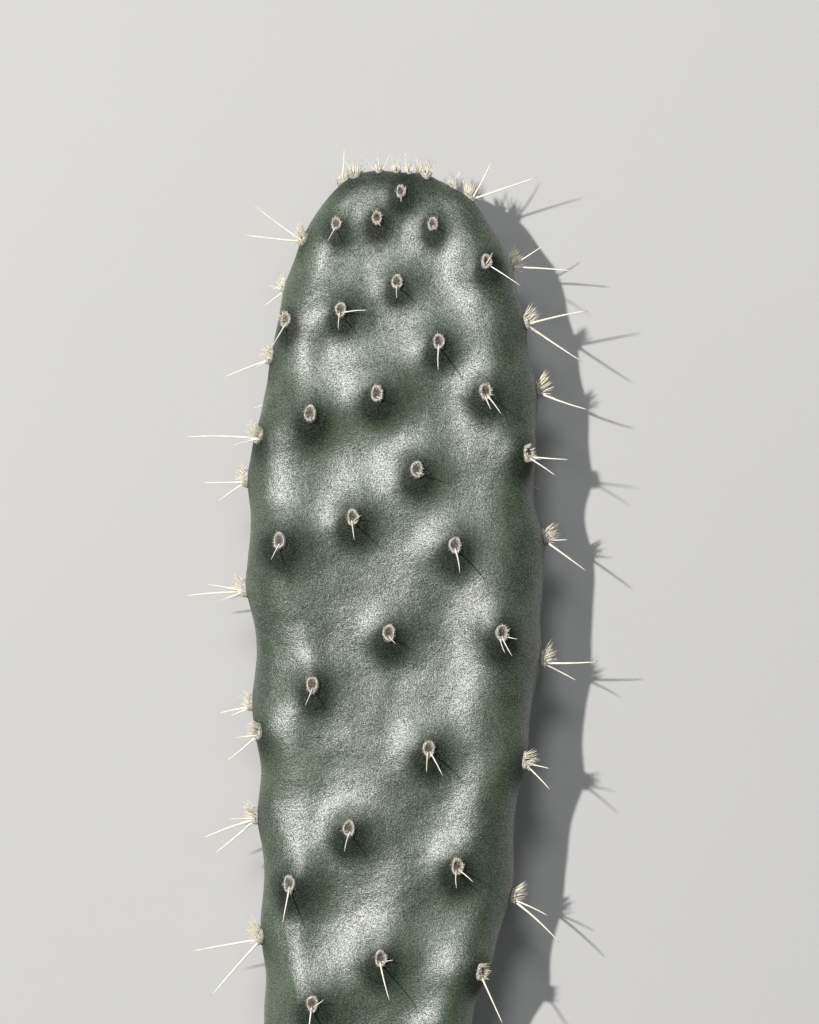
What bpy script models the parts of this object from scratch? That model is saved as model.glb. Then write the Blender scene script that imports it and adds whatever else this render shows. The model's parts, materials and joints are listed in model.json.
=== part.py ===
"""A prickly pear pad, as picked, lying on the spines of its back face.

The pad is one long flattened stem. It lies along Y with its tip at +Y and its front face up, and ends in
the flat scar where it was cut from the plant. Each areole, a cushion of felt with a tuft of glochids and
one to three spines, is an object of its own that sits on a tubercle of the pad. The origin is on the
surface that the pad lies on, under the middle of the whole object.
"""

import math

import bmesh
import bpy
from mathutils import Matrix, Vector
from mathutils.bvhtree import BVHTree

MM = 0.001

# The pad, along its midline from the tip: distance, half width, midline's sideways drift, half thickness.
PAD_LENGTH = 280 * MM
PAD_STATIONS_MM = (
    (0, 31.5, 0.7, 8.5),
    (40, 31.5, 0.1, 9.8),
    (70, 34.5, 0.3, 10.6),
    (102, 36.2, -0.4, 11.0),
    (132, 34.6, -0.1, 11.0),
    (157, 32.3, -1.4, 10.8),
    (182, 29.8, -2.9, 10.4),
    (207, 27.3, -6.3, 9.8),
    (232, 22.4, -8.7, 8.8),
    (256, 15.2, -10.8, 7.4),
    (270, 11.3, -12.0, 6.4),
    (280, 9.8, -12.8, 6.0),
)
SECTION_POWER = 3.2  # 2 is an ellipse, more is flatter on the faces and rounder at the rim
TIP_ROUND = 60 * MM  # the stretch over which the tip closes
TIP_SHAPE = 2.2
TIP_WIDTH_POWER = 0.40
TIP_THICKNESS_POWER = 0.52
PAD_RINGS = 60
PAD_SEGMENTS = 40
RING_BUNCHING = 0.3  # the nearer to 0, the more evenly the rings are spaced, and else they crowd at the tip
SCAR_SHARE = 0.05  # the share of the rings that closes the flat scar

# The tubercles, low mounds that carry the areoles.
TUBERCLE_HEIGHT = 1.5 * MM
TUBERCLE_RADIUS = 7.5 * MM

# One areole: an oval felt cushion, a tuft of glochids on its tip side and spines on its base side.
CUSHION_HALF_WIDTH = 1.6 * MM
CUSHION_HALF_LENGTH = 2.1 * MM
CUSHION_HEIGHT = 1.2 * MM
CUSHION_TOP_SHARE = 0.75
CUSHION_SIDES = 8
CUSHION_GAP = 0.3 * MM
TUFT_LENGTH = 4.2 * MM
TUFT_LEAN = 26  # degrees from the areole's normal towards the tip
TUFT_ROOT = 0.8 * MM  # from the cushion's middle towards the tip
TUFT_RADIUS = 0.7 * MM
TUFT_SPREAD_RADIUS = 1.3 * MM
TUFT_SIDES = 5
SPINE_ROOT = 0.9 * MM  # from the cushion's middle towards the base
SPINE_RADIUS = 0.42 * MM
SPINE_TIP_RADIUS = 0.05 * MM
SPINE_SIDES = 4

# Where the pad's tip lies over the surface. The spines of the back that carry the pad end on the surface.
TIP_AT = Vector((1.45, 136.0, 21.0)) * MM

# Areoles of the front face: (across, distance from the tip) in mm, and spines as (heading, rise, length).
# A heading is in degrees round Z from +X, so -90 points at the base, and a rise is over the horizontal.
FRONT_AREOLES = (
    ((1, 4.5), ((-90, 60, 4.5),)),
    ((-15, 12.5), ((-115, 62, 10),)),
    ((-5, 11), ((-60, 72, 6),)),
    ((9, 12.5), ((-50, 80, 9),)),
    ((22, 22), ((-33, 25, 11.5), (70, 48, 5))),
    ((-27, 36.5), ((-117, 42, 10.5),)),
    ((-14, 34), ((-93, 66, 11), (4, 45, 9.5))),
    ((0, 27), ((-90, 70, 11),)),
    ((10.5, 42), ((-92, 60, 13.5),)),
    ((-21.5, 60), ((-80, 80, 6),)),
    ((-5, 55), ((-20, 78, 8),)),
    ((22, 54.5), ((-52, 58, 12), (-76, 64, 9))),
    ((-29, 92), ((-115, 62, 9),)),
    ((-11, 86), ((-82, 66, 12), (35, 70, 7))),
    ((5, 74), ((-10, 80, 11),)),
    ((32, 70), ((-4, 20, 11), (-37, 36, 10))),
    ((-21, 128), ((-112, 64, 10),)),
    ((-2, 115), ((-45, 70, 7),)),
    ((14.5, 93), ((-80, 64, 14),)),
    ((-26.5, 178), ((-99, 48, 13),)),
    ((-12, 164), ((-100, 66, 11), (170, 58, 5))),
    ((8, 144), ((-95, 66, 11.5), (-60, 56, 11.5))),
    ((26, 115), ((-60, 60, 11), (-82, 66, 10), (-10, 55, 6))),
    ((-21, 208), ((-97, 55, 13), (40, 58, 7))),
    ((-4, 196.5), ((-75, 50, 14.5), (15, 60, 6))),
    ((15, 173.5), ((-92, 66, 10), (-36, 60, 9))),
    ((31, 147), ((-46, 25, 10), (-10, 32, 7))),
    ((20, 200), ((-65, 32, 15.5),)),
)

# Areoles of the two rims: (distance from the tip in mm, degrees round the section from the rim towards the
# front face), and spines as above.
LEFT_RIM_AREOLES = (
    ((3, 0), ((85, 8, 9.5),)),
    ((16, 10), ((142, 10, 15), (175, 5, 14.5))),
    ((28, -14), ((217, 0, 7), (160, 4, 4.5))),
    ((45.5, 5), ((204, 5, 12),)),
    ((65.5, 15), ((179, 8, 20), (194, 18, 8))),
    ((76.5, 0), ((180, 8, 12.5), (211, 0, 10))),
    ((104, 0), ((184, 3, 15.5), (168, 12, 10), (202, 10, 7))),
    ((128.5, -26), ((211, -4, 6.5),)),
    ((140, 15), ((219, 10, 11), (186, 16, 7))),
    ((161.5, 0), ((200, 5, 15), (220, 0, 14), (180, 8, 7))),
    ((192, 5), ((190, 5, 18), (230, 5, 19))),
    ((211, -35), ((190, -12, 5),)),
)
RIGHT_RIM_AREOLES = (
    ((6, 0), ((65, 10, 10.5), (18, 5, 17))),
    ((22.5, -8), ((34, 0, 10.5), (-3, 2, 16.5))),
    ((37, 5), ((13, 6, 17), (-32, 4, 17.5))),
    ((54, 0), ((-18, 5, 14), (20, 8, 5))),
    ((74.5, -40), ((-22, -18, 11),)),
    ((91, 0), ((-38, 4, 13), (2, 10, 5.5))),
    ((122, 0), ((2, 6, 13.5), (-29, 0, 9.5))),
    ((181.5, 0), ((-42, 3, 16.5), (-24, 10, 10.5))),
)

# Small areoles with no spines, at the tip and by the scar, whose tubercles the pad carries too.
TIP_AREOLES = ((2.0, 150), (0.5, 130), (0.4, 60), (1.6, 20), (2.6, 5))
BASE_AREOLES = ((218, 52), (224, 112), (236, 172), (238, 48), (246, 120), (258, 76), (262, 150))

# The back repeats the front's pattern, turned half round the long axis and moved along by part of a row.
BACK_SHIFT = -14 * MM
BEARING_FROM, BEARING_TO = 50 * MM, 190 * MM  # the stretch whose back spines carry the pad
BEARING_HALF_WIDTH = 0.80  # as a share of the pad's half width there
BEARING_SPINES = ((-118, -52), (-58, -48))  # heading and rise

SKIN_COLOUR = (0.30, 0.36, 0.27, 1.0)
SPINE_COLOUR = (0.80, 0.76, 0.64, 1.0)


def make_material(name, colour, roughness):
    """A Principled material with this base colour and roughness."""
    material = bpy.data.materials.new(name)
    material.use_nodes = True
    shader = material.node_tree.nodes["Principled BSDF"]
    shader.inputs["Base Color"].default_value = colour
    shader.inputs["Roughness"].default_value = roughness
    shader.inputs["Metallic"].default_value = 0.0
    return material


def through_stations(distance, column):
    """A value of PAD_STATIONS_MM at this distance from the tip, on a Catmull-Rom curve through them."""
    at = [row[0] * MM for row in PAD_STATIONS_MM]
    values = [row[column] * MM for row in PAD_STATIONS_MM]
    last = len(at) - 1
    i = max(k for k in range(last) if at[k] <= distance or k == 0)
    span = at[i + 1] - at[i]
    share = min(1.0, max(0.0, (distance - at[i]) / span))

    def slope(k):
        low, high = max(0, k - 1), min(last, k + 1)
        return (values[high] - values[low]) / (at[high] - at[low]) * span

    cube, square = share**3, share**2
    return (
        (2 * cube - 3 * square + 1) * values[i]
        + (cube - 2 * square + share) * slope(i)
        + (3 * square - 2 * cube) * values[i + 1]
        + (cube - square) * slope(i + 1)
    )


def tip_closing(distance, power):
    """How far the tip has opened out at this distance from it, from 0 to 1."""
    left = max(0.0, 1 - distance / TIP_ROUND)
    return (1 - left**TIP_SHAPE) ** power


def half_width(distance):
    return through_stations(distance, 1) * tip_closing(distance, TIP_WIDTH_POWER)


def section_point(distance, degrees, share=1.0):
    """A point of the smooth pad: 0 degrees is the right rim, 90 the front's middle and 180 the left rim."""
    angle = math.radians(degrees)
    across = math.cos(angle)
    depth = max(0.0, 1 - abs(across) ** SECTION_POWER) ** (1 / SECTION_POWER)
    thickness = through_stations(distance, 3) * tip_closing(distance, TIP_THICKNESS_POWER)
    return Vector(
        (
            through_stations(distance, 2) + half_width(distance) * across * share,
            -distance,
            math.copysign(thickness * depth * share, math.sin(angle)),
        )
    )


def section_normal(distance, degrees):
    """The smooth pad's outward normal at that point."""
    step_along, step_round = 0.4 * MM, 1.0
    near = max(step_along, distance)
    along = section_point(near + step_along, degrees) - section_point(near - step_along, degrees)
    round_it = section_point(near, degrees + step_round) - section_point(near, degrees - step_round)
    return round_it.cross(along).normalized()


def section_degrees(distance, across, front=True):
    """The angle round the section of a point this far across from the tip's line, on either face."""
    share = (across - through_stations(distance, 2)) / half_width(distance)
    degrees = math.degrees(math.acos(max(-1.0, min(1.0, share))))
    return degrees if front else -degrees


def front_sites():
    """(distance, degrees, spines) of each front areole."""
    return [
        (along * MM, section_degrees(along * MM, across * MM), spines)
        for (across, along), spines in FRONT_AREOLES
    ]


def rim_sites(areoles, rim_degrees, towards_front):
    return [
        (along * MM, rim_degrees + towards_front * turn, spines)
        for (along, turn), spines in areoles
    ]


def back_sites():
    """(distance, degrees) of each back areole: the front's, turned half round the long axis and moved."""
    moved = [(distance + BACK_SHIFT, degrees + 180) for distance, degrees, _ in front_sites()]
    moved += [(along * MM + BACK_SHIFT, turn + 180) for along, turn in BASE_AREOLES]
    return [site for site in moved if site[0] > 0]


def bears_weight(distance, degrees):
    return (
        BEARING_FROM <= distance <= BEARING_TO
        and abs(math.cos(math.radians(degrees))) <= BEARING_HALF_WIDTH
    )


def tubercle_sites():
    """(distance, degrees) of every areole of the pad, with an object of its own or not."""
    sites = [site[:2] for site in front_sites()]
    sites += [site[:2] for site in rim_sites(LEFT_RIM_AREOLES, 180, -1)]
    sites += [site[:2] for site in rim_sites(RIGHT_RIM_AREOLES, 0, 1)]
    sites += [(along * MM, turn) for along, turn in TIP_AREOLES + BASE_AREOLES]
    return sites + back_sites()


def add_object(name, mesh_data, material, collection):
    obj = bpy.data.objects.new(name, mesh_data)
    obj.data.materials.append(material)
    collection.objects.link(obj)
    return obj


def mesh_of(name, shape):
    """A mesh data block from a bmesh, which is freed."""
    shape.normal_update()
    bmesh.ops.recalc_face_normals(shape, faces=shape.faces)
    mesh_data = bpy.data.meshes.new(name)
    shape.to_mesh(mesh_data)
    shape.free()
    return mesh_data


def make_pad(material, collection):
    """A sphere whose poles are the tip and the scar, drawn out to the pad's sections and tubercles."""
    mounds = [section_point(distance, degrees) for distance, degrees in tubercle_sites()]
    shape = bmesh.new()
    bmesh.ops.create_uvsphere(
        shape, u_segments=PAD_SEGMENTS, v_segments=PAD_RINGS, radius=1.0
    )
    for vertex in shape.verts:
        from_tip = math.acos(max(-1.0, min(1.0, vertex.co.z))) / math.pi
        degrees = math.degrees(math.atan2(vertex.co.y, vertex.co.x))
        body = min(1.0, from_tip / (1 - SCAR_SHARE))
        distance = PAD_LENGTH * (1 + RING_BUNCHING) * body**2 / (body + RING_BUNCHING)
        scar = min(1.0, (1 - from_tip) / SCAR_SHARE)
        place = section_point(distance, degrees, share=scar)
        if scar == 1.0 and from_tip > 0:
            lift = sum(
                math.exp(-(((place - mound).length / TUBERCLE_RADIUS) ** 2))
                for mound in mounds
            )
            place += section_normal(distance, degrees) * TUBERCLE_HEIGHT * min(1.0, lift)
        vertex.co = place
    pad = add_object("pad", mesh_of("pad", shape), material, collection)
    pad.data.shade_smooth()
    return pad


def areole_frame(skin, distance, degrees):
    """The areole's axes on the pad: X across, Y towards the tip and Z out of the skin."""
    out = section_normal(distance, degrees)
    smooth = section_point(distance, degrees)
    reach = 4 * TUBERCLE_HEIGHT
    hit = skin.ray_cast(smooth + out * reach, -out, 3 * reach)[0]
    seat = (hit or smooth) + out * CUSHION_GAP
    to_tip = (Vector((0, 1, 0)) - out * out.y).normalized()
    if abs(out.y) > 0.95:
        to_tip = (Vector((0, 0, 1)) - out * out.z).normalized()
    across = to_tip.cross(out)
    axes = Matrix((across, to_tip, out)).transposed().to_4x4()
    return Matrix.Translation(seat) @ axes


def tapered(name, root, direction, length, radius, end_radius, sides, material, collection):
    """A straight tapering cone from root along direction."""
    shape = bmesh.new()
    bmesh.ops.create_cone(
        shape,
        cap_ends=True,
        segments=sides,
        radius1=radius,
        radius2=end_radius,
        depth=length,
    )
    bmesh.ops.translate(shape, verts=shape.verts, vec=(0, 0, length / 2))
    obj = add_object(name, mesh_of(name, shape), material, collection)
    turn = direction.to_track_quat("Z", "Y").to_matrix().to_4x4()
    obj.matrix_world = Matrix.Translation(root) @ turn
    return obj


def pointing(heading, rise):
    """The direction with this heading round Z and this rise over the horizontal, in degrees."""
    heading, rise = math.radians(heading), math.radians(rise)
    return Vector(
        (
            math.cos(heading) * math.cos(rise),
            math.sin(heading) * math.cos(rise),
            math.sin(rise),
        )
    )


def spine_root(frame, number, count):
    """Where spine number, from 0, of count leaves the cushion. The spines stand side by side."""
    sideways = (number - (count - 1) / 2) * SPINE_RADIUS
    return frame @ Vector((sideways, -SPINE_ROOT, CUSHION_HEIGHT / 2))


def make_areole(name, frame, spines, material, parts, hidden):
    """A cushion with its tuft and spines joined to it. spines are (direction, length)."""
    shape = bmesh.new()
    bmesh.ops.create_cone(
        shape,
        cap_ends=True,
        segments=CUSHION_SIDES,
        radius1=1.0,
        radius2=CUSHION_TOP_SHARE,
        depth=CUSHION_HEIGHT,
    )
    bmesh.ops.scale(
        shape, verts=shape.verts, vec=(CUSHION_HALF_WIDTH, CUSHION_HALF_LENGTH, 1)
    )
    bmesh.ops.translate(shape, verts=shape.verts, vec=(0, 0, CUSHION_HEIGHT / 2))
    areole = add_object(name, mesh_of(name, shape), material, parts)
    areole.matrix_world = frame

    turn = frame.to_3x3()
    lean = math.radians(TUFT_LEAN)
    tuft_direction = turn @ Vector((0, math.sin(lean), math.cos(lean)))
    limbs = [
        tapered(
            name + "_tuft",
            frame @ Vector((0, TUFT_ROOT, CUSHION_HEIGHT / 2)),
            tuft_direction,
            TUFT_LENGTH,
            TUFT_RADIUS,
            TUFT_SPREAD_RADIUS,
            TUFT_SIDES,
            material,
            hidden,
        )
    ]
    for number, (direction, length) in enumerate(spines):
        limbs.append(
            tapered(
                f"{name}_spine_{number + 1}",
                spine_root(frame, number, len(spines)),
                direction,
                length,
                SPINE_RADIUS,
                SPINE_TIP_RADIUS,
                SPINE_SIDES,
                material,
                hidden,
            )
        )
    for limb in limbs:
        limb.hide_render = True
        limb.display_type = "WIRE"
        join = areole.modifiers.new(limb.name, "BOOLEAN")
        join.operation = "UNION"
        join.object = limb
    return areole


def make_areoles(pad, material, parts, hidden):
    """Every areole that is an object of its own."""
    shape = bmesh.new()
    shape.from_mesh(pad.data)
    skin = BVHTree.FromBMesh(shape)
    shape.free()

    groups = (
        ("areole_front", front_sites()),
        ("areole_left_rim", rim_sites(LEFT_RIM_AREOLES, 180, -1)),
        ("areole_right_rim", rim_sites(RIGHT_RIM_AREOLES, 0, 1)),
    )
    areoles = []
    for group, sites in groups:
        for number, (distance, degrees, spines) in enumerate(sites, start=1):
            frame = areole_frame(skin, distance, degrees)
            grown = [(pointing(heading, rise), length * MM) for heading, rise, length in spines]
            areoles.append(
                make_areole(f"{group}_{number:02d}", frame, grown, material, parts, hidden)
            )

    bearing = [site for site in back_sites() if bears_weight(*site)]
    for number, (distance, degrees) in enumerate(bearing, start=1):
        frame = areole_frame(skin, distance, degrees)
        grown = []
        for spine, (heading, rise) in enumerate(BEARING_SPINES):
            direction = pointing(heading, rise)
            height = TIP_AT.z + spine_root(frame, spine, len(BEARING_SPINES)).z
            grown.append((direction, (height - SPINE_TIP_RADIUS) / -direction.z))
        areoles.append(
            make_areole(f"areole_back_{number:02d}", frame, grown, material, parts, hidden)
        )
    return areoles


def main():
    for obj in list(bpy.data.objects):
        bpy.data.objects.remove(obj)
    parts = bpy.data.collections.new("prickly_pear_pad")
    hidden = bpy.data.collections.new("joined_limbs")
    for collection in (parts, hidden):
        bpy.context.scene.collection.children.link(collection)
    skin = make_material("pad_skin", SKIN_COLOUR, 0.5)
    spine = make_material("spine", SPINE_COLOUR, 0.6)

    place = bpy.data.objects.new("tip_of_the_pad", None)
    parts.objects.link(place)
    place.location = TIP_AT
    pad = make_pad(skin, parts)
    make_areoles(pad, spine, parts, hidden)
    for obj in list(parts.objects) + list(hidden.objects):
        if obj is not place:
            obj.parent = place


main()
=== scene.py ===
"""The looks of a picked prickly pear pad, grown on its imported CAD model.

The skin is made from the CAD pad, and each CAD areole tells where its felt, its glochids and its
spines go. The areoles that have no CAD node of their own are placed by the same rules as the pad's
tubercles. The pad lies on its back with its tip towards +Y. Lengths are metres.
"""

import json
import math

import bmesh
import bpy
import numpy as np
from mathutils import Matrix, Vector, noise
from mathutils.bvhtree import BVHTree

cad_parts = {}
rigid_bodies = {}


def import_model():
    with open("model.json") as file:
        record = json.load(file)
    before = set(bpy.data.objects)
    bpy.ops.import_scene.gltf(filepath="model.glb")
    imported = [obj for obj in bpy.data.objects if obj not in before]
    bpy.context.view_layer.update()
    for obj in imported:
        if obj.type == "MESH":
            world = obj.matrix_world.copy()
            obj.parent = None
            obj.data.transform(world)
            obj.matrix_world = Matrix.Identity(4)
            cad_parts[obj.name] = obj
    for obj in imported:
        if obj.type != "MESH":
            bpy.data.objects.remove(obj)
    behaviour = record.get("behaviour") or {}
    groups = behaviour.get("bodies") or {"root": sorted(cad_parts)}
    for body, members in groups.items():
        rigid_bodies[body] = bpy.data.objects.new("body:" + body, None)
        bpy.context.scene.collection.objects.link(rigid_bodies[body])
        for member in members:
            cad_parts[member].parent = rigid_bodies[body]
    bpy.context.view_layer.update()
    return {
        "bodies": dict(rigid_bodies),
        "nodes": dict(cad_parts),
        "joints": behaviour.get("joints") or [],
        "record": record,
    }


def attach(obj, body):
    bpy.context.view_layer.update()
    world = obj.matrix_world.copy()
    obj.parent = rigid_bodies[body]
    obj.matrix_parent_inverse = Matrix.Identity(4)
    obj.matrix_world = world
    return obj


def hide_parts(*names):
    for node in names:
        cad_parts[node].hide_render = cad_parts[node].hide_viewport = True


MM = 0.001

# Reading the CAD: how near points are one point, and how far from its seat an areole's spine
# tips are. A tip is a small cap, whose points are this near each other.
WELD = 2e-6
TIPS_FROM = 3.0 * MM
TIP_CAP = 0.2 * MM
CAD_CUSHION_GAP = 0.3 * MM  # how far the CAD cushion stands off the CAD pad

# An areole is on the rim where its way out is less upright than this, fully so after a change of
# this much. One at the very end has a way out that is this much along Y.
FACE_UPRIGHT, RIM_CHANGE = 0.92, 0.45
AT_THE_END = 0.95

# The skin's mesh.
SKIN_VOXEL = 0.8 * MM
SKIN_SMOOTHING = 9

# A steeper crown on each tubercle. On the rim it has only a share of the height.
KNOLL_HEIGHT, KNOLL_RADIUS = 2.1 * MM, 6.2 * MM
KNOLL_SPREAD = 26 * MM  # nothing further from an areole than this is looked at
RIM_KNOLL = 0.25

# The skin's unevenness, broad and fine.
SWELL_HEIGHT, SWELL_LENGTH = 2.0 * MM, 22 * MM
RIPPLE_HEIGHT, RIPPLE_LENGTH = 0.17 * MM, 6.0 * MM

# Long ridges of both faces, as (where across the pad, how broad, how high). The first two are
# shares of the half width. They wander a little, and fade out over a length at each end.
RIDGES = ((-0.74, 0.17, 1.3 * MM), (0.12, 0.20, 0.6 * MM), (0.78, 0.24, 2.0 * MM))
RIDGE_WANDER = 0.10
RIDGE_FADE_AT_TIP, RIDGE_FADE_AT_BASE = 45 * MM, 40 * MM
RIDGE_STATIONS = 140

# A swelling of both faces close to the tip, which makes it blunter.
TIP_SWELL, TIP_SWELL_AT, TIP_SWELL_REACH = 1.6 * MM, 4.0 * MM, 5.5 * MM

# The dark blotch round an areole is partly the pad's own wax-free patch and partly painted shade of
# the tubercle's lower flank, which is why it sits towards the base. Half its width and length, how far
# it sits towards the base, how much smaller it is on a small areole, how soft its edge is, and how much
# fainter on the rim.
SHADE_ACROSS, SHADE_ALONG, SHADE_DROP = 5.0 * MM, 6.2 * MM, 2.3 * MM
SHADE_SIZE_POWER = 1.4
SHADE_EDGE_POWER = 1.15
RIM_PALER = 0.55

# The scar at the base: half its width and thickness, how deep it is dished, and its rings.
SCAR_HALF_WIDTH, SCAR_HALF_THICK = 9.8 * MM, 6.0 * MM
SCAR_DISH, SCAR_RING, SCAR_RINGS = 0.9 * MM, 0.25 * MM, 14
SCAR_ROUGH, SCAR_GRAIN = 0.28 * MM, 1.3 * MM

# A cushion: its half width and half length, its height, and how deep its underside sits.
FELT_ACROSS, FELT_ALONG, FELT_HEIGHT = 1.60 * MM, 2.30 * MM, 1.25 * MM
FELT_SUNK = 0.4 * MM
FELT_WALL, FELT_WALL_WIDTH = 0.78, 0.21  # how far out its wall is, and how thick, as shares
FELT_PALE_AT, FELT_PALE_WIDTH = 0.82, 0.26  # the same for the wall's pale colour
FELT_HAIRS = 190

# How many glochids an areole has, how long, and how many degrees they lean towards the tip.
FACE_GLOCHIDS, FACE_GLOCHID_LENGTH, FACE_LEAN = 38, (0.9 * MM, 1.8 * MM), 9
RIM_GLOCHIDS, RIM_GLOCHID_LENGTH, RIM_LEAN = 40, (2.9 * MM, 4.9 * MM), 30

# The radius of a spine's foot and of the thin bristles.
FACE_SPINE_THICK, RIM_SPINE_THICK = 0.23 * MM, 0.29 * MM
SIDE_BRISTLE_THICK, TIP_BRISTLE_THICK = 0.11 * MM, 0.10 * MM

# Areoles are full grown from this far below the tip, and smallest at the tip.
GROWN_BELOW_TIP, SMALLEST = 60 * MM, 0.80

# The tip's areoles that have no CAD node: (mm from the tip, degrees round the section, size).
TIP_AREOLES = (
    (1.9, 156, 0.85),
    (0.9, 124, 0.60),
    (0.4, 97, 0.70),
    (0.8, 74, 0.55),
    (1.0, 46, 0.90),
    (3.2, 18, 0.60),
    (0.9, -58, 0.65),
    (1.5, -120, 0.65),
)
TIP_LEAN = 0.8  # how much these lean towards the tip
TIP_BRISTLES = 4

# The base's: (mm from the tip, degrees round the section). The back repeats the front's rows,
# shifted along the pad, wherever the CAD has no areole this near.
BASE_AREOLES = ((218, 52), (224, 112), (236, 172), (238, 48), (246, 120), (258, 76), (262, 150))
BACK_SHIFT = -14 * MM
BACK_CLEAR = 4.5 * MM
OTHER_SIZE = 0.95

# Spines of areoles with no CAD node end at least this high over the surface under the pad.
LOWEST_TIP = 0.6 * MM

# The material slots of an areole.
FELT, GLOCHID, SPINE = 0, 1, 2

# The studio. The pale surroundings are brighter at the horizon than overhead, and change between
# these heights. Each light is (name, way to it, distance, width, power in watts, colour).
HORIZON_GLOW, ZENITH_GLOW = 0.50, 0.05
GLOW_LOW, GLOW_HIGH = 0.05, 0.45
GLOW_COLOUR = (0.94, 0.96, 1.0, 1.0)
FLOOR_HALF, FLOOR_COLOUR = 2.5, (0.42, 0.42, 0.415)
LIT_POINT = Vector((0, 0.03, 0.02))
LIGHTS = (
    ("key", (-0.47, 0.19, 0.86), 2.6, 0.08, 88.0, (1.0, 0.98, 0.95)),
    ("fill", (0.20, 0.14, 0.97), 2.4, 1.0, 5.0, (0.95, 0.97, 1.0)),
    ("top", (-0.10, 0.55, 0.83), 2.4, 0.6, 20.0, (0.97, 0.98, 1.0)),
)

# The camera, straight above. The frame's height is measured at the height the view is fitted to.
FRAME_HEIGHT = 257.2 * MM
FRAME_MIDDLE_X, FRAME_MIDDLE_BELOW_TIP = 4.6 * MM, 85.8 * MM
FITTED_ABOVE_MIDDLE = 12 * MM
LENS, SENSOR = 180.0, 36.0


# ---------------------------------------------------------------- materials


class Nodes:
    """Short ways to add and link shader nodes."""

    def __init__(self, name):
        self.material = bpy.data.materials.new(name)
        self.material.use_nodes = True
        self.tree = self.material.node_tree
        self.shader = self.tree.nodes["Principled BSDF"]
        self.place = self.tree.nodes.new("ShaderNodeTexCoord").outputs["Object"]

    def add(self, kind, **values):
        node = self.tree.nodes.new(kind)
        for key, value in values.items():
            if hasattr(node, key):
                setattr(node, key, value)
            else:
                node.inputs[key.replace("_", " ")].default_value = value
        return node

    def link(self, source, target):
        self.tree.links.new(source, target)

    def noise(self, wavelength, detail=4.0, roughness=0.55, stretch=None):
        node = self.add("ShaderNodeTexNoise", Scale=1 / wavelength, Detail=detail, Roughness=roughness)
        place = self.place
        if stretch:
            mapping = self.add("ShaderNodeMapping")
            mapping.inputs["Scale"].default_value = stretch
            self.link(place, mapping.inputs["Vector"])
            place = mapping.outputs["Vector"]
        self.link(place, node.inputs["Vector"])
        return node.outputs["Fac"]

    def ramp(self, source, *stops):
        node = self.add("ShaderNodeValToRGB")
        band = node.color_ramp.elements
        while len(band) < len(stops):
            band.new(0.5)
        for element, (at, value) in zip(band, stops):
            element.position = at
            colour = value if isinstance(value, tuple) else (value, value, value)
            element.color = (*colour, 1.0)
        self.link(source, node.inputs["Fac"])
        return node.outputs["Color"]

    def mix(self, share, first, second, blend="MIX"):
        node = self.add("ShaderNodeMix", data_type="RGBA", blend_type=blend)
        sockets = node.inputs[0], node.inputs[6], node.inputs[7]
        for socket, value in zip(sockets, (share, first, second)):
            if isinstance(value, bpy.types.NodeSocket):
                self.link(value, socket)
            elif isinstance(value, tuple):
                socket.default_value = (*value, 1.0)
            else:
                socket.default_value = value
        return node.outputs[2]

    def maths(self, operation, first, second, third=None, clamp=False):
        node = self.add("ShaderNodeMath", operation=operation, use_clamp=clamp)
        for socket, value in zip(node.inputs, (first, second, third)):
            if isinstance(value, bpy.types.NodeSocket):
                self.link(value, socket)
            elif value is not None:
                socket.default_value = value
        return node.outputs[0]

    def attribute(self, name):
        return self.add("ShaderNodeAttribute", attribute_name=name).outputs["Fac"]

    def bump(self, height, distance, strength=1.0, after=None):
        node = self.add("ShaderNodeBump", Strength=strength, Distance=distance)
        self.link(height, node.inputs["Height"])
        if after:
            self.link(after, node.inputs["Normal"])
        return node.outputs["Normal"]

    def finish(self, colour, roughness, normal=None):
        self.link(colour, self.shader.inputs["Base Color"])
        self.link(roughness, self.shader.inputs["Roughness"])
        if normal:
            self.link(normal, self.shader.inputs["Normal"])
        return self.material


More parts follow.
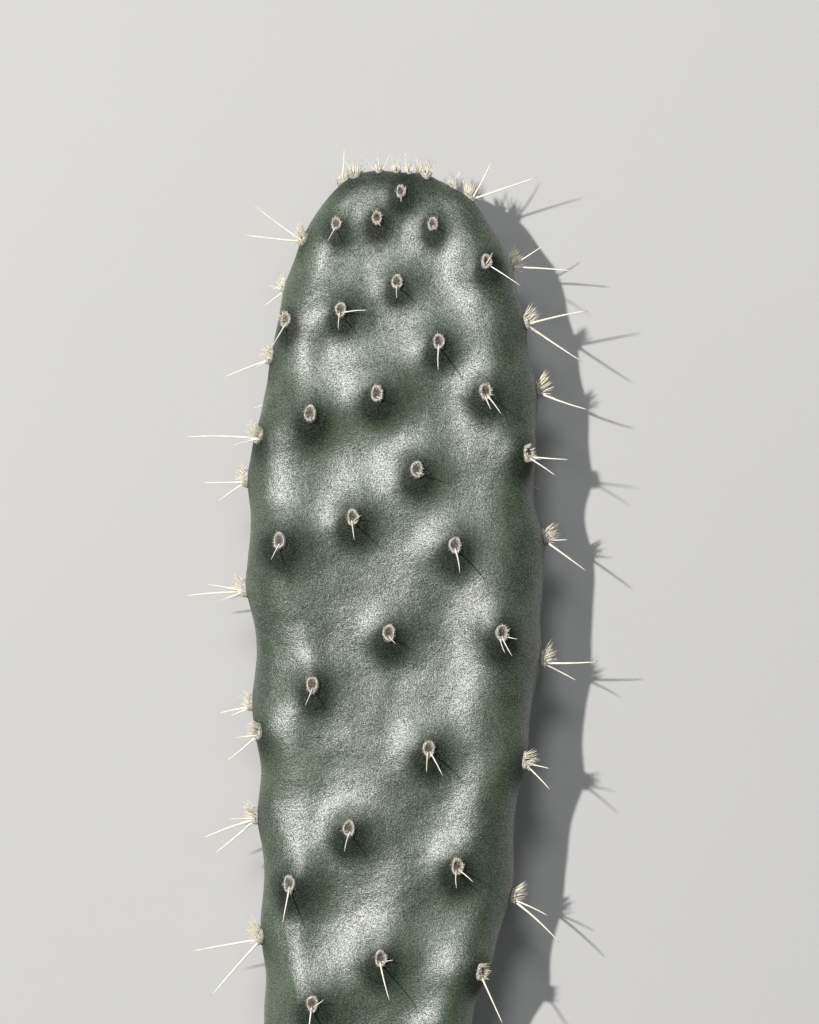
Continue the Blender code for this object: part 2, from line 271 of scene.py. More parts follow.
def skin_material():
    """Waxy grey-green skin: a dark blotch round each areole, partly the pad's own colour and partly
    painted shade, cloudy elsewhere, and finely grained.
    """
    n = Nodes("pad_skin_waxy")
    cloud = n.noise(26 * MM, detail=5.0, roughness=0.6, stretch=(1.0, 0.6, 1.0))
    wisp = n.noise(6 * MM, detail=5.0, roughness=0.62)
    grain = n.noise(0.34 * MM, detail=1.5, roughness=0.7)
    base = n.ramp(
        cloud,
        (0.30, (0.013, 0.024, 0.011)),
        (0.50, (0.027, 0.044, 0.021)),
        (0.72, (0.053, 0.074, 0.043)),
    )
    base = n.mix(n.ramp(wisp, (0.40, 0.0), (0.75, 0.35)), base, (0.105, 0.138, 0.086))
    edge = n.maths("MULTIPLY_ADD", wisp, 0.30, -0.15)
    shade = n.maths("ADD", n.attribute("areole_blotch_and_painted_shade"), edge)
    pale = n.ramp(grain, (0.52, 0.0), (0.74, 0.60))
    base = n.mix(pale, base, (0.150, 0.188, 0.124))
    # Round each areole the colour goes dark: partly the pad's own wax-free patch, partly painted shade
    # of the tubercle's lower flank.
    bare_and_painted_shade = n.ramp(grain, (0.42, (0.006, 0.009, 0.006)), (0.74, (0.052, 0.066, 0.044)))
    base = n.mix(n.ramp(shade, (0.12, 0.0), (0.62, 0.92)), base, bare_and_painted_shade)
    dark = n.ramp(grain, (0.28, 0.75), (0.47, 0.0))
    base = n.mix(dark, base, (0.008, 0.012, 0.008))
    scar = n.attribute("scar")
    bark = n.ramp(n.noise(1.6 * MM, detail=5.0), (0.3, (0.16, 0.12, 0.075)), (0.7, (0.42, 0.35, 0.24)))
    base = n.mix(scar, base, bark)
    rough = n.ramp(n.noise(5 * MM, detail=4.0), (0.3, 0.34), (0.7, 0.44))
    rough = n.mix(dark, rough, (0.9, 0.9, 0.9))
    rough = n.mix(n.ramp(shade, (0.10, 0.0), (0.85, 0.8)), rough, (0.75, 0.75, 0.75))
    rough = n.mix(scar, rough, (0.95, 0.95, 0.95))
    normal = n.bump(n.noise(2.8 * MM, detail=5.0), 0.26 * MM, 0.7)
    normal = n.bump(grain, 0.09 * MM, 1.0, after=normal)
    wax = n.maths("SUBTRACT", 1.0, n.ramp(shade, (0.10, 0.0), (0.68, 0.95)), clamp=True)
    wax = n.maths("MULTIPLY", wax, n.ramp(grain, (0.34, 0.25), (0.60, 1.0)))
    wax = n.maths("MULTIPLY", wax, n.maths("SUBTRACT", 1.0, scar))
    n.link(wax, n.shader.inputs["Coat Weight"])
    n.link(normal, n.shader.inputs["Coat Normal"])
    n.shader.inputs["Specular IOR Level"].default_value = 0.15
    n.shader.inputs["Coat Roughness"].default_value = 0.42
    n.shader.inputs["Coat IOR"].default_value = 2.0
    return n.finish(base, rough, normal)


def felt_material():
    """Dark in the cushion's middle, grey-buff on its wall and hairs."""
    n = Nodes("areole_felt")
    tuft = n.noise(0.45 * MM, detail=3.0)
    inside = n.ramp(tuft, (0.35, (0.022, 0.018, 0.013)), (0.65, (0.118, 0.110, 0.084)))
    wall = n.ramp(
        tuft,
        (0.30, (0.22, 0.20, 0.165)),
        (0.50, (0.48, 0.455, 0.40)),
        (0.70, (0.70, 0.67, 0.60)),
    )
    colour = n.mix(n.attribute("along"), inside, wall)
    normal = n.bump(n.noise(0.25 * MM, detail=3.0), 0.12 * MM, 0.9)
    n.shader.inputs["Sheen Weight"].default_value = 0.2
    return n.finish(colour, n.ramp(n.noise(1.0 * MM), (0.3, 0.85), (0.7, 1.0)), normal)


def glochid_material():
    """Pale straw, browner towards the points."""
    n = Nodes("areole_glochids")
    colour = n.ramp(n.noise(0.8 * MM, detail=2.0), (0.3, (0.66, 0.61, 0.47)), (0.7, (0.86, 0.83, 0.72)))
    tip = n.ramp(n.attribute("along"), (0.60, 0.0), (1.0, 0.45))
    colour = n.mix(tip, colour, (0.34, 0.23, 0.12))
    normal = n.bump(n.noise(0.15 * MM, detail=2.0), 0.02 * MM, 0.5)
    return n.finish(colour, n.ramp(n.noise(0.6 * MM), (0.3, 0.38), (0.7, 0.55)), normal)


def spine_material():
    """Bone white, darker at the foot and brown at the point."""
    n = Nodes("areole_spines")
    colour = n.ramp(n.noise(1.8 * MM, detail=4.0), (0.3, (0.70, 0.66, 0.54)), (0.7, (0.90, 0.88, 0.80)))
    foot = n.ramp(n.attribute("along"), (0.0, 0.55), (0.10, 0.0))
    colour = n.mix(foot, colour, (0.50, 0.42, 0.28))
    tip = n.ramp(n.attribute("along"), (0.86, 0.0), (1.0, 0.75))
    colour = n.mix(tip, colour, (0.34, 0.24, 0.13))
    normal = n.bump(n.noise(0.35 * MM, detail=3.0), 0.03 * MM, 0.5)
    return n.finish(colour, n.ramp(n.noise(1.0 * MM), (0.3, 0.30), (0.7, 0.46)), normal)


def plain_material(name, tone):
    """Nearly even and matt, for the floor."""
    n = Nodes(name)
    paler = tuple(min(1.0, c * 1.03) for c in tone)
    colour = n.ramp(n.noise(0.25, detail=3.0), (0.3, tone), (0.7, paler))
    return n.finish(colour, n.ramp(n.noise(0.1), (0.3, 0.86), (0.7, 0.92)))


# ---------------------------------------------------------------- the CAD's facts


def welded(obj):
    """The object's mesh as a bmesh with shared points."""
    shape = bmesh.new()
    shape.from_mesh(obj.data)
    bmesh.ops.remove_doubles(shape, verts=shape.verts, dist=WELD)
    shape.normal_update()
    return shape


def axes_of(out):
    """Across, towards the pad's tip, and out: the CAD's rule for an areole's axes."""
    to_tip = (Vector((0, 1, 0)) - out * out.y).normalized()
    if abs(out.y) > AT_THE_END:
        to_tip = (Vector((0, 0, 1)) - out * out.z).normalized()
    return to_tip.cross(out), to_tip, out


def rim_share(out):
    """0 where the areole faces up or down from a face of the pad, and 1 on its rim."""
    return min(1.0, max(0.0, (FACE_UPRIGHT - abs(out[2])) / RIM_CHANGE))


def knoll_way(out):
    """The way a tubercle stands out: straight off a face, and along the areole's normal on the rim."""
    rim = rim_share(out)
    return Vector((out[0] * rim, out[1] * rim, out[2])).normalized()


def read_areole(obj):
    """(seat, out, spine tips) of a CAD areole. Its largest flat face is the cushion's underside."""
    shape = welded(obj)
    flats = {}
    for face in shape.faces:
        key = tuple(round(c, 2) for c in face.normal)
        flats.setdefault(key, []).append(face)
    under = max(flats.values(), key=lambda faces: sum(f.calc_area() for f in faces))
    area = sum(f.calc_area() for f in under)
    seat = sum((f.calc_center_median() * f.calc_area() for f in under), Vector()) / area
    out = -sum((f.normal * f.calc_area() for f in under), Vector()).normalized()

    far = [v.co.copy() for v in shape.verts if (v.co - seat).length > TIPS_FROM]
    shape.free()
    tips = []
    while far:
        first = far.pop()
        near = [p for p in far if (p - first).length < TIP_CAP]
        far = [p for p in far if (p - first).length >= TIP_CAP]
        if len(near) >= 2:
            tips.append(sum(near, first.copy()) / (len(near) + 1))
    return seat - out * CAD_CUSHION_GAP, out, tips


class Outline:
    """The CAD pad's midline and half width at any y, and points on it at an angle round the section."""

    def __init__(self, pad):
        shape = welded(pad)
        points = np.array([v.co for v in shape.verts])
        self.tree = BVHTree.FromBMesh(shape)
        shape.free()
        self.low, self.high = Vector(points.min(0)), Vector(points.max(0))
        self.middle_z = (self.low.z + self.high.z) / 2

    def edges(self, y):
        """x of the left and the right edge at this y, by rays along X at the pad's middle height."""
        found = []
        for side in (-1, 1):
            hit = self.tree.ray_cast(Vector((side, y, self.middle_z)), Vector((-side, 0, 0)))[0]
            found.append(hit.x if hit else (self.low.x + self.high.x) / 2)
        return found

    def point(self, y, degrees):
        """(point, outward normal) on the CAD pad."""
        y = min(max(y, self.low.y + 0.5 * MM), self.high.y - 0.3 * MM)
        left, right = self.edges(y)
        across = math.cos(math.radians(degrees))
        x = (left + right) / 2 + (right - left) / 2 * across
        if abs(across) > 0.93:
            side = math.copysign(1, across)
            height = self.middle_z + 4 * MM * math.sin(math.radians(degrees))
            hit, normal, _, _ = self.tree.ray_cast(Vector((side, y, height)), Vector((-side, 0, 0)))
        else:
            side = math.copysign(1, math.sin(math.radians(degrees)))
            hit, normal, _, _ = self.tree.ray_cast(Vector((x, y, side)), Vector((0, 0, -side)))
        return hit, normal

    def share(self, place):
        """How far across the pad a place is, from -1 at the left edge to 1 at the right."""
        left, right = self.edges(place.y)
        return (place.x - (left + right) / 2) / ((right - left) / 2)


# ---------------------------------------------------------------- the skin


def evaluated(obj):
    """A copy of the object's mesh with its modifiers applied."""
    graph = bpy.context.evaluated_depsgraph_get()
    return bpy.data.meshes.new_from_object(obj.evaluated_get(graph), depsgraph=graph)


def with_modifiers(mesh_data, *modifiers):
    """The mesh after these modifiers, given as (type, settings)."""
    obj = bpy.data.objects.new("working", mesh_data)
    bpy.context.scene.collection.objects.link(obj)
    for kind, settings in modifiers:
        modifier = obj.modifiers.new(kind, kind)
        for key, value in settings.items():
            setattr(modifier, key, value)
    result = evaluated(obj)
    bpy.data.objects.remove(obj)
    return result


def coordinates(mesh_data):
    """The points, one a row."""
    points = np.empty(len(mesh_data.vertices) * 3, np.float32)
    mesh_data.vertices.foreach_get("co", points)
    return points.reshape(-1, 3).astype(np.float64)


def normals(mesh_data):
    """The points' normals, one a row."""
    found = np.empty(len(mesh_data.vertices) * 3, np.float32)
    mesh_data.vertices.foreach_get("normal", found)
    return found.reshape(-1, 3).astype(np.float64)


def set_attribute(mesh_data, name, values):
    """A number for each point, which a material can read."""
    attribute = mesh_data.attributes.new(name, "FLOAT", "POINT")
    attribute.data.foreach_set("value", np.ascontiguousarray(values, np.float32))


def smooth_base(pad):
    """The CAD pad with its facets rounded off, as an even fine mesh."""
    shape = welded(pad)
    bmesh.ops.join_triangles(
        shape, faces=shape.faces, angle_face_threshold=0.7, angle_shape_threshold=0.7
    )
    coarse = bpy.data.meshes.new("coarse")
    shape.to_mesh(coarse)
    shape.free()
    return with_modifiers(
        coarse,
        ("SUBSURF", {"levels": 2, "render_levels": 2}),
        ("REMESH", {"mode": "VOXEL", "voxel_size": SKIN_VOXEL}),
        ("SMOOTH", {"factor": 0.5, "iterations": SKIN_SMOOTHING}),
    )


def ridge_lift(points, outward, wander, outline):
    """How far the long ridges and the swelling at the tip lift each point along Z."""
    stations = np.linspace(outline.low.y + 1 * MM, outline.high.y - 1 * MM, RIDGE_STATIONS)
    edges = np.array([outline.edges(y) for y in stations])
    left, right = (np.interp(points[:, 1], stations, edges[:, side]) for side in (0, 1))
    share = (points[:, 0] - (left + right) / 2) / ((right - left) / 2) + RIDGE_WANDER * wander
    height = sum(tall * np.exp(-(((share - at) / broad) ** 2)) for at, broad, tall in RIDGES)
    from_tip = outline.high.y - points[:, 1]
    from_base = points[:, 1] - outline.low.y
    tip_fade = np.clip(from_tip / RIDGE_FADE_AT_TIP, 0, 1)
    base_fade = np.clip(from_base / RIDGE_FADE_AT_BASE, 0, 1)
    height *= tip_fade * base_fade
    height += TIP_SWELL * np.exp(-(((from_tip - TIP_SWELL_AT) / TIP_SWELL_REACH) ** 2))
    return height * outward[:, 2]


def noise_at(points, wavelength, shift=(0, 0, 0)):
    """Smooth noise in the pad's own space, about -1 to 1."""
    return np.array([noise.noise(Vector(p) / wavelength + Vector(shift)) for p in points])


def make_skin(pad, seats, outline, material):
    """The pad's skin, with a crown and a dark blotch under each areole, the blotch partly painted
    shade, and a scar at its base.
    """
    mesh_data = smooth_base(pad)
    points, outward = coordinates(mesh_data), normals(mesh_data)

    knolls = np.zeros_like(points)
    shade = np.zeros(len(points))
    for seat, out, size in seats:
        _, to_tip, _ = np.array(axes_of(Vector(out)))
        out = np.array(out)
        away = points - np.array(seat)
        near = np.abs(away).max(axis=1) < KNOLL_SPREAD
        away = away[near]
        facing = (outward[near] @ out) > 0.2
        flat = away - np.outer(away @ out, out)
        reach = np.linalg.norm(flat, axis=1)
        rim = rim_share(out)
        height = KNOLL_HEIGHT * size**2 * (1 - (1 - RIM_KNOLL) * rim)
        mound = facing * height * np.exp(-((reach / (KNOLL_RADIUS * size)) ** 2))
        knolls[near] += mound[:, None] * np.array(knoll_way(out))
        # The blotch is partly the pad's own dark patch and partly painted shade, set towards the base
        # where the tubercle's lower flank is shaded.
        scale = size**SHADE_SIZE_POWER
        uphill = flat @ to_tip
        along = uphill + SHADE_DROP * scale
        across = np.sqrt(np.maximum(0, (flat**2).sum(axis=1) - uphill**2))
        spread = (across / (SHADE_ACROSS * scale)) ** 2 + (along / (SHADE_ALONG * scale)) ** 2
        blotch = facing * (1 - RIM_PALER * rim) * np.exp(-(spread**SHADE_EDGE_POWER))
        shade[near] = 1 - (1 - shade[near]) * (1 - blotch)

    swell = noise_at(points, SWELL_LENGTH)
    ripple = noise_at(points, RIPPLE_LENGTH, shift=(7, 3, 1))
    lift = SWELL_HEIGHT * swell + RIPPLE_HEIGHT * ripple
    knolls[:, 2] += ridge_lift(points, outward, swell, outline)

    from_base = points[:, 1] - outline.low.y
    end = np.clip(1 - (from_base - 0.2 * MM) / (1.1 * MM), 0, 1)
    middle = points[from_base < 1.5 * MM].mean(axis=0)
    radius = np.hypot(
        (points[:, 0] - middle[0]) / SCAR_HALF_WIDTH, (points[:, 2] - middle[2]) / SCAR_HALF_THICK
    )
    dish = SCAR_DISH * np.clip(1 - radius**2, 0, 1) - SCAR_RING * np.cos(radius * SCAR_RINGS)
    rough = noise_at(points[end > 0], SCAR_GRAIN)
    points += outward * lift[:, None] + knolls
    points[:, 1] += end * dish
    points[end > 0, 1] += SCAR_ROUGH * np.abs(rough) * end[end > 0]

    mesh_data.vertices.foreach_set("co", points.astype(np.float32).ravel())
    mesh_data.update()
    set_attribute(mesh_data, "areole_blotch_and_painted_shade", shade)
    set_attribute(mesh_data, "scar", np.clip(end * 1.3, 0, 1))
    mesh_data.materials.clear()
    mesh_data.materials.append(material)
    skin = bpy.data.objects.new("pad_skin", mesh_data)
    bpy.context.scene.collection.objects.link(skin)
    mesh_data.shade_smooth()
    return skin


# ---------------------------------------------------------------- the areoles


class Growth:
    """The points, faces, materials and root-to-tip shares of one piece."""

    def __init__(self):
        self.points, self.faces, self.slots, self.along = [], [], [], []
        self.count = 0

    def add(self, points, faces, slot, along):
        self.points.append(points)
        self.faces += [tuple(self.count + i for i in face) for face in faces]
        self.slots += [slot] * len(faces)
        self.along.append(along)
        self.count += len(points)

    def needles(self, roots, tips, bends, thick, sides, rings, slot, taper, along_from=0.0):
        """Curved tapering needles from roots to tips, each a closed cone."""
        count = len(roots)
        t = np.linspace(0, 1, rings)
        middles = (roots + tips) / 2 + bends
        line = (
            ((1 - t) ** 2)[None, :, None] * roots[:, None]
            + (2 * t * (1 - t))[None, :, None] * middles[:, None]
            + (t**2)[None, :, None] * tips[:, None]
        )
        axis = tips - roots
        axis /= np.linalg.norm(axis, axis=1, keepdims=True)
        helper = np.where(np.abs(axis[:, 2:]) < 0.9, [[0.0, 0.0, 1.0]], [[1.0, 0.0, 0.0]])
        u = np.cross(axis, helper)
        u /= np.linalg.norm(u, axis=1, keepdims=True)
        v = np.cross(axis, u)
        angle = np.arange(sides) * 2 * math.pi / sides
        around = np.cos(angle)[None, :, None] * u[:, None] + np.sin(angle)[None, :, None] * v[:, None]
        radius = thick[:, None] * taper(t)[None, :]
        points = line[:, :-1, None] + radius[:, :-1, None, None] * around[:, None]
        points = points.reshape(count, (rings - 1) * sides, 3)
        points = np.concatenate([points, line[:, -1:]], axis=1)

        faces = [tuple(range(sides))[::-1]]
        for ring in range(rings - 2):
            for k in range(sides):
                a, b = ring * sides + k, ring * sides + (k + 1) % sides
                faces.append((a, b, b + sides, a + sides))
        last = (rings - 2) * sides
        for k in range(sides):
            faces.append((last + k, last + (k + 1) % sides, (rings - 1) * sides))
        along = along_from + (1 - along_from) * np.append(np.repeat(t[:-1], sides), 1.0)
        for number in range(count):
            self.add(points[number], faces, slot, along)

    def spine(self, root, tip, bend, thick, sides, rings):
        """One spine or bristle."""
        ends = np.array([root]), np.array([tip]), np.array([bend])
        self.needles(*ends, np.array([thick]), sides, rings, SPINE, spine_taper)

    def piece(self, name, materials):
        """All of it as one object."""
        mesh_data = bpy.data.meshes.new(name)
        mesh_data.from_pydata(np.concatenate(self.points).tolist(), [], self.faces)
        for material in materials:
            mesh_data.materials.append(material)
        mesh_data.polygons.foreach_set("material_index", self.slots)
        set_attribute(mesh_data, "along", np.concatenate(self.along))
        mesh_data.update()
        mesh_data.shade_smooth()
        obj = bpy.data.objects.new(name, mesh_data)
        bpy.context.scene.collection.objects.link(obj)
        return obj


def felt_height(reach, turn, phase):
    """The cushion's height, as a share: a wall, higher on the base side, round a dished middle."""
    rim = np.exp(-(((reach - FELT_WALL) / FELT_WALL_WIDTH) ** 2))
    middle = 0.12 * np.clip(1 - reach, 0, 1)
    crescent = 0.80 - 0.20 * np.sin(turn)
    lumps = 0.10 * np.sin(5 * turn + phase) + 0.07 * np.sin(9 * turn + 2.3 * phase)
    return rim * (crescent + lumps) + middle


def grow_felt(growth, frame, size, rng):
    """An oval, hollow-topped cushion of felt with short hairs on it."""
    rings, sides = 9, 26
    phase = rng.uniform(0, 6.28)
    reach = np.linspace(0, 1, rings + 1)[1:]
    turn = np.arange(sides) * 2 * math.pi / sides
    grid_reach, grid_turn = np.meshgrid(reach, turn, indexing="ij")
    wobble = 1 + 0.06 * np.sin(3 * grid_turn + phase) + rng.normal(0, 0.015, grid_reach.shape)
    x = FELT_ACROSS * size * grid_reach * np.cos(grid_turn) * wobble
    y = FELT_ALONG * size * grid_reach * np.sin(grid_turn) * wobble
    height = felt_height(grid_reach, grid_turn, phase) + rng.normal(0, 0.035, grid_reach.shape)
    z = FELT_HEIGHT * size * height
    z[-1] = -FELT_SUNK
    top = np.stack([x, y, z], axis=-1).reshape(-1, 3)
    centre = np.array([[0, 0, FELT_HEIGHT * size * 0.12], [0, 0, -FELT_SUNK]])
    points = np.concatenate([top, centre])
    middle, under = len(top), len(top) + 1
    faces = []
    for k in range(sides):
        faces.append((middle, k, (k + 1) % sides))
    for ring in range(rings - 1):
        for k in range(sides):
            a, b = ring * sides + k, ring * sides + (k + 1) % sides
            faces.append((a, a + sides, b + sides, b))
    last = (rings - 1) * sides
    for k in range(sides):
        faces.append((last + k, under, last + (k + 1) % sides))
    wall = np.exp(-(((reach - FELT_PALE_AT) / FELT_PALE_WIDTH) ** 2))
    share = np.concatenate([np.repeat(wall, sides), [0.0, 0.0]])
    growth.add(to_world(frame, points), faces, FELT, share)

    count = int(FELT_HAIRS * size)
    reach = rng.uniform(0.66, 0.98, count)
    turn = rng.uniform(0, 2 * math.pi, count)
    roots = np.stack(
        [
            FELT_ACROSS * size * reach * np.cos(turn),
            FELT_ALONG * size * reach * np.sin(turn),
            FELT_HEIGHT * size * felt_height(reach, turn, phase) * 0.8 - 0.05 * MM,
        ],
        axis=-1,
    )
    outward = np.stack([np.cos(turn), np.sin(turn), np.zeros(count)], axis=-1)
    lean = (reach - 0.80) * 3.0
    direction = outward * lean[:, None] + np.array([0, 0, 0.80]) + rng.normal(0, 0.40, (count, 3))
    direction /= np.linalg.norm(direction, axis=1, keepdims=True)
    length = rng.uniform(0.35, 0.80, count) * MM * size
    tips = roots + direction * length[:, None]
    bends = rng.normal(0, 0.14, (count, 3)) * MM
    growth.needles(
        to_world(frame, roots),
        to_world(frame, tips),
        bends,
        rng.uniform(0.035, 0.06, count) * MM,
        3,
        3,
        FELT,
        lambda t: 1 - 0.6 * t,
        along_from=0.6,
    )


def grow_glochids(growth, frame, size, rng, fullness=1.0):
    """Glochids round the cushion's tip side: short on a face, a long leaning brush on a rim."""
    rim = rim_share(Vector(frame.col[2][:3]))

    def between(on_face, on_rim):
        return on_face + (on_rim - on_face) * rim

    count = int(between(FACE_GLOCHIDS, RIM_GLOCHIDS) * fullness * (0.4 + 0.6 * size))
    turn = rng.uniform(-0.42 * math.pi, 1.42 * math.pi, count)
    reach = rng.uniform(between(0.50, 0.25), 0.86, count)
    roots = np.stack(
        [
            FELT_ACROSS * size * reach * np.cos(turn),
            FELT_ALONG * size * (reach * np.sin(turn) * 0.90 + 0.06),
            np.full(count, 0.1 * MM),
        ],
        axis=-1,
    )
    lean = np.radians(rng.normal(between(FACE_LEAN, RIM_LEAN), between(7, 8), count))
    splay = between(0.30, 0.34) * rng.uniform(0.5, 1.4, count)
    direction = np.stack(
        [
            np.cos(turn) * reach * splay + rng.normal(0, 0.08, count),
            np.sin(lean) + np.sin(turn) * reach * splay,
            np.cos(lean),
        ],
        axis=-1,
    )
    direction /= np.linalg.norm(direction, axis=1, keepdims=True)
    low = between(FACE_GLOCHID_LENGTH[0], RIM_GLOCHID_LENGTH[0])
    high = between(FACE_GLOCHID_LENGTH[1], RIM_GLOCHID_LENGTH[1])
    longest = rng.uniform(0.85, 1.3)
    length = rng.uniform(low, high, count) * size * longest
    tips = roots + direction * length[:, None]
    bends = rng.normal(0, 0.05, (count, 3)) * MM
    growth.needles(
        to_world(frame, roots),
        to_world(frame, tips),
        bends,
        rng.uniform(0.075, 0.110, count) * MM * (0.5 + 0.5 * size) * between(1.0, 1.25),
        4,
        4,
        GLOCHID,
        lambda t: (1 - t**1.8) ** 0.8,
    )


def spine_taper(t):
    """Nearly even along a spine, with a swollen foot and a short point."""
    return (1 - 0.62 * t) * np.sqrt(np.clip(1 - t**9, 0, 1)) * (1 + 0.35 * np.exp(-t / 0.04))


def grow_spines(growth, frame, tips, size, rng):
    """Spines from the base side of the cushion to these tips, and a thin bristle or two beside them."""
    seat = frame.translation
    across, to_tip, out = (Vector(frame.col[k][:3]) for k in range(3))
    rim = rim_share(out)
    full_thick = FACE_SPINE_THICK + (RIM_SPINE_THICK - FACE_SPINE_THICK) * rim
    ordered = sorted(tips, key=lambda tip: (tip - seat).dot(across))
    for number, tip in enumerate(ordered):
        sideways = (number - (len(ordered) - 1) / 2) * 0.55 * MM
        root = seat + across * sideways - to_tip * 0.85 * MM * size + out * 0.15 * MM
        length = (tip - root).length
        thick = full_thick * min(1.15, 0.50 + length / (24 * MM)) * size
        side = (tip - root).cross(Vector(rng.normal(0, 1, 3))).normalized()
        bend = side * length * rng.uniform(0.015, 0.06)
        growth.spine(root, tip, bend, thick, 10, 14)
    for _ in range(rng.integers(0, 2) + int(2 * rim)):
        aim = -to_tip * rng.uniform(0.1, 0.8) + out * rng.uniform(0.8, 1.2)
        aim += across * rng.normal(0, 0.4)
        root = seat - to_tip * 0.8 * MM * size + across * rng.normal(0, 0.5) * MM
        tip = root + aim.normalized() * rng.uniform(2.5, 3.5 + 2.0 * rim) * MM * size
        bend = Vector(rng.normal(0, 0.1, 3)) * MM
        growth.spine(root, tip, bend, SIDE_BRISTLE_THICK, 6, 6)


def grow_bristles(growth, frame, count, rng):
    """Long thin bristles that cross each other, from an areole of the very tip."""
    seat = frame.translation
    across, _, out = (Vector(frame.col[k][:3]) for k in range(3))
    for _ in range(count):
        aim = out * rng.uniform(0.8, 1.2) + across * rng.normal(0, 0.55)
        root = seat + across * rng.normal(0, 0.4) * MM
        tip = root + aim.normalized() * rng.uniform(3.5, 6.5) * MM
        bend = Vector(rng.normal(0, 0.2, 3)) * MM
        growth.spine(root, tip, bend, TIP_BRISTLE_THICK, 6, 8)


def to_world(frame, points):
    """Points given in an areole's own axes, in the world."""
    matrix = np.array(frame)
    return points @ matrix[:3, :3].T + matrix[:3, 3]


def areole_frame(seat, out):
    """The axes of an areole, as a matrix: across, towards the tip, and out."""
    matrix = Matrix(axes_of(out)).transposed().to_4x4()
    return Matrix.Translation(seat) @ matrix


def on_skin(tree, seat, out):
    """The point of the skin that the areole sits on."""
    way = knoll_way(out)
    hit = tree.ray_cast(seat + way * 6 * MM, -way, 11 * MM)[0]
    return hit if hit else seat


def extra_areoles(outline, read):
    """(seat, out, size, has spines) of each areole that has no CAD node."""
    found = []
    tip_y = outline.high.y
    for distance, degrees, size in TIP_AREOLES:
        seat, out = outline.point(tip_y - distance * MM, degrees)
        found.append((seat, (out + Vector((0, TIP_LEAN, 0))).normalized(), size, False))
    for distance, degrees in BASE_AREOLES:
        seat, out = outline.point(tip_y - distance * MM, degrees)
        found.append((seat, out, OTHER_SIZE, True))
    fronts = [seat for name, (seat, _, _) in read.items() if "front" in name]
    backs = [(seat.y - BACK_SHIFT, outline.share(seat)) for seat in fronts]
    backs += [
        (tip_y - distance * MM - BACK_SHIFT, math.cos(math.radians(degrees)))
        for distance, degrees in BASE_AREOLES
    ]
    taken = [seat for name, (seat, _, _) in read.items() if "front" not in name]
    for y, share in backs:
        if y > tip_y - 1.5 * MM:
            continue
        degrees = -math.degrees(math.acos(max(-1.0, min(1.0, -share))))
        seat, out = outline.point(y, degrees)
        if seat and min((seat - other).length for other in taken) > BACK_CLEAR:
            found.append((seat, out, OTHER_SIZE, True))
    return found


def free_tips(seat, out, rng, size):
    """Tips of one or two spines of an areole that has no CAD node, clear of the surface below."""
    across, to_tip, _ = axes_of(out)
    tips = []
    for _ in range(rng.integers(1, 3)):
        aim = out * rng.uniform(0.9, 1.4) - to_tip * rng.uniform(0.3, 0.9)
        aim = (aim + across * rng.normal(0, 0.35)).normalized()
        length = rng.uniform(7, 11) * MM * size
        tip = seat + aim * length
        if tip.z < LOWEST_TIP:
            tip = seat + aim * length * (seat.z - LOWEST_TIP) / (seat.z - tip.z)
        tips.append(tip)
    return tips


# ---------------------------------------------------------------- the scene


def add_light(name, way, distance, width, power, colour):
    """A disc that shines at the pad from this way."""
    light = bpy.data.lights.new(name, "AREA")
    light.shape = "DISK"
    light.size = width
    light.energy = power
    light.color = colour
    way = Vector(way).normalized()
    obj = bpy.data.objects.new(name, light)
    obj.location = LIT_POINT + way * distance
    obj.rotation_euler = (-way).to_track_quat("-Z", "Y").to_euler()
    bpy.context.scene.collection.objects.link(obj)


def make_stage():
    """A plain pale floor, pale surroundings and three lights."""
    floor_mesh = bpy.data.meshes.new("floor")
    half = FLOOR_HALF
    floor_mesh.from_pydata(
        [(-half, -half, 0), (half, -half, 0), (half, half, 0), (-half, half, 0)], [], [(0, 1, 2, 3)]
    )
    floor_mesh.materials.append(plain_material("floor_plain", FLOOR_COLOUR))
    floor = bpy.data.objects.new("floor", floor_mesh)
    bpy.context.scene.collection.objects.link(floor)

    world = bpy.data.worlds.new("studio")
    world.use_nodes = True
    tree = world.node_tree
    background = tree.nodes["Background"]
    background.inputs["Color"].default_value = GLOW_COLOUR
    height = tree.nodes.new("ShaderNodeSeparateXYZ")
    tree.links.new(tree.nodes.new("ShaderNodeTexCoord").outputs["Generated"], height.inputs[0])
    glow = tree.nodes.new("ShaderNodeMapRange")
    glow.inputs["From Min"].default_value = GLOW_LOW
    glow.inputs["From Max"].default_value = GLOW_HIGH
    glow.inputs["To Min"].default_value = HORIZON_GLOW
    glow.inputs["To Max"].default_value = ZENITH_GLOW
    tree.links.new(height.outputs["Z"], glow.inputs["Value"])
    tree.links.new(glow.outputs["Result"], background.inputs["Strength"])
    bpy.context.scene.world = world

    for light in LIGHTS:
        add_light(*light)


def make_camera(outline):
    """Looks straight down on the front face, with the photograph's framing."""
    data = bpy.data.cameras.new("camera")
    data.lens = LENS
    data.sensor_width = SENSOR
    data.clip_start, data.clip_end = 0.05, 10
    camera = bpy.data.objects.new("camera", data)
    camera.location = (
        FRAME_MIDDLE_X,
        outline.high.y - FRAME_MIDDLE_BELOW_TIP,
        outline.middle_z + FITTED_ABOVE_MIDDLE + LENS / SENSOR * FRAME_HEIGHT,
    )
    bpy.context.scene.collection.objects.link(camera)
    bpy.context.scene.camera = camera
    bpy.context.scene.view_settings.view_transform = "Standard"
    bpy.context.scene.view_settings.look = "None"


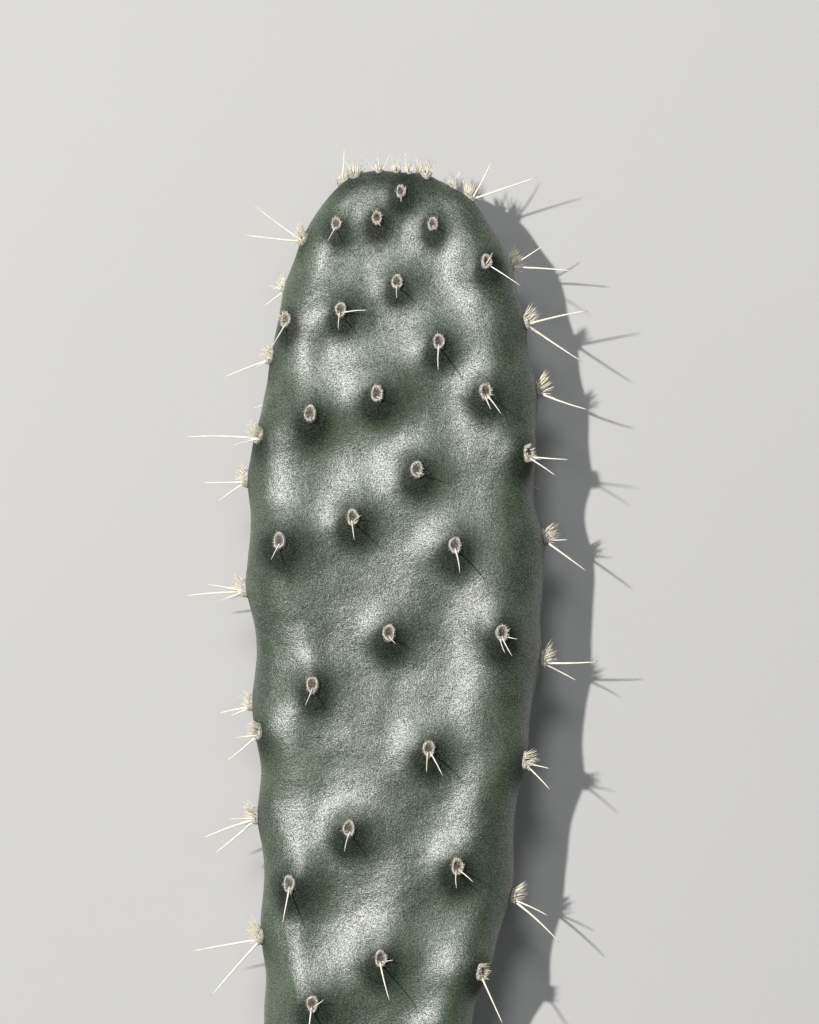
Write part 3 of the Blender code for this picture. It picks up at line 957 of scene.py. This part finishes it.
def main():
    """The skin, the areoles with a CAD node, the other areoles, the studio and the camera."""
    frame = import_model()
    for obj in [o for o in bpy.data.objects if o.name in ("Cube", "Light", "Camera")]:
        bpy.data.objects.remove(obj)

    pad = frame["nodes"]["pad"]
    outline = Outline(pad)
    read = {name: read_areole(obj) for name, obj in sorted(frame["nodes"].items()) if name != "pad"}
    extra = extra_areoles(outline, read)
    tip_y = outline.high.y

    def size_at(seat):
        return min(1.0, SMALLEST + (tip_y - seat.y) / GROWN_BELOW_TIP * (1 - SMALLEST))

    seats = [(seat, out, size_at(seat)) for seat, out, _ in read.values()]
    seats += [(seat, out, size) for seat, out, size, _ in extra]
    skin = make_skin(pad, seats, outline, skin_material())
    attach(skin, "root")
    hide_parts("pad")

    shape = bmesh.new()
    shape.from_mesh(skin.data)
    tree = BVHTree.FromBMesh(shape)
    shape.free()
    materials = (felt_material(), glochid_material(), spine_material())

    for number, (name, (seat, out, tips)) in enumerate(read.items()):
        rng = np.random.default_rng(1000 + number)
        growth = Growth()
        size = size_at(seat)
        place = areole_frame(on_skin(tree, seat, out), out)
        grow_felt(growth, place, size, rng)
        grow_glochids(growth, place, size, rng)
        grow_spines(growth, place, tips, size, rng)
        piece = growth.piece(name.replace("areole", "grown"), materials)
        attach(piece, "root")
        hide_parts(name)

    groups = {"grown_tip": [], "grown_base": [], "grown_back_rest": []}
    for number, entry in enumerate(extra):
        if number < len(TIP_AREOLES):
            groups["grown_tip"].append((number, entry))
        elif number < len(TIP_AREOLES) + len(BASE_AREOLES):
            groups["grown_base"].append((number, entry))
        else:
            groups["grown_back_rest"].append((number, entry))
    for name, members in groups.items():
        growth = Growth()
        for number, (seat, out, size, spined) in members:
            rng = np.random.default_rng(2000 + number)
            place = areole_frame(on_skin(tree, seat, out), out)
            grow_felt(growth, place, size, rng)
            grow_glochids(growth, place, size, rng, rng.uniform(0.6, 1.0))
            if spined:
                grow_spines(growth, place, free_tips(place.translation, out, rng, size), size, rng)
            else:
                grow_bristles(growth, place, TIP_BRISTLES, rng)
        piece = growth.piece(name, materials)
        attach(piece, "root")

    make_stage()
    make_camera(outline)


main()
